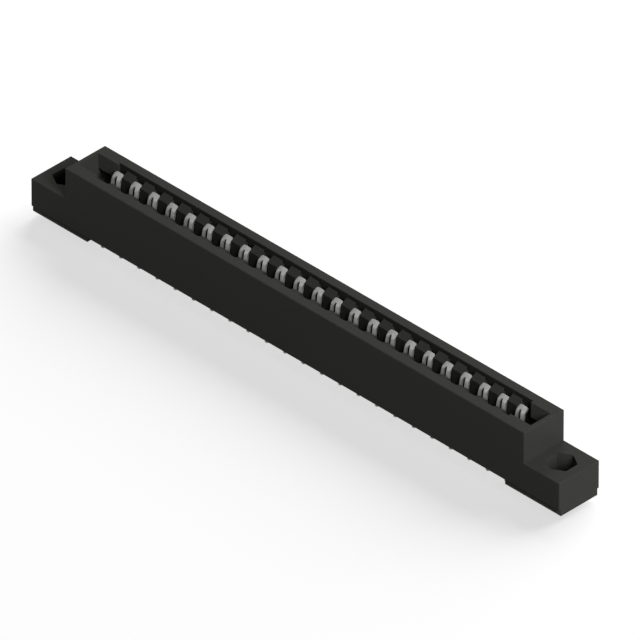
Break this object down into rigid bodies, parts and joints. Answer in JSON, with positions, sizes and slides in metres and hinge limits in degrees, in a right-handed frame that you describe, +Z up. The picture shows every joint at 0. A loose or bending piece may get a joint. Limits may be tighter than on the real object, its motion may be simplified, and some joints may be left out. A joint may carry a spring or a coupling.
{
  "type": "card edge connector",
  "caption": "Black moulded card edge connector with a mounting ear at each end, a card slot lined with forked spring contacts, and solder tails below.",
  "frame": {"origin": "midway between the two mounting holes, on the plane that the standoff pads stand on", "axes": "+X along the rows of contacts, +Y across the card slot, +Z up out of the card slot"},
  "size_m": [0.114, 0.0086, 0.0131],
  "materials": {
    "housing": "satin black glass-filled moulding",
    "contact": "satin tin plate over copper alloy"
  },
  "bodies": {
    "root": {"housing": "housing", "contact_front_01": "contact", "contact_front_02": "contact", "contact_front_03": "contact", "contact_front_04": "contact", "contact_front_05": "contact", "contact_front_06": "contact", "contact_front_07": "contact", "contact_front_08": "contact", "contact_front_09": "contact", "contact_front_10": "contact", "contact_front_11": "contact", "contact_front_12": "contact", "contact_front_13": "contact", "contact_front_14": "contact", "contact_front_15": "contact", "contact_front_16": "contact", "contact_front_17": "contact", "contact_front_18": "contact", "contact_front_19": "contact", "contact_front_20": "contact", "contact_front_21": "contact", "contact_front_22": "contact", "contact_front_23": "contact", "contact_rear_01": "contact", "contact_rear_02": "contact", "contact_rear_03": "contact", "contact_rear_04": "contact", "contact_rear_05": "contact", "contact_rear_06": "contact", "contact_rear_07": "contact", "contact_rear_08": "contact", "contact_rear_09": "contact", "contact_rear_10": "contact", "contact_rear_11": "contact", "contact_rear_12": "contact", "contact_rear_13": "contact", "contact_rear_14": "contact", "contact_rear_15": "contact", "contact_rear_16": "contact", "contact_rear_17": "contact", "contact_rear_18": "contact", "contact_rear_19": "contact", "contact_rear_20": "contact", "contact_rear_21": "contact", "contact_rear_22": "contact", "contact_rear_23": "contact"}
  },
  "joints": []
}
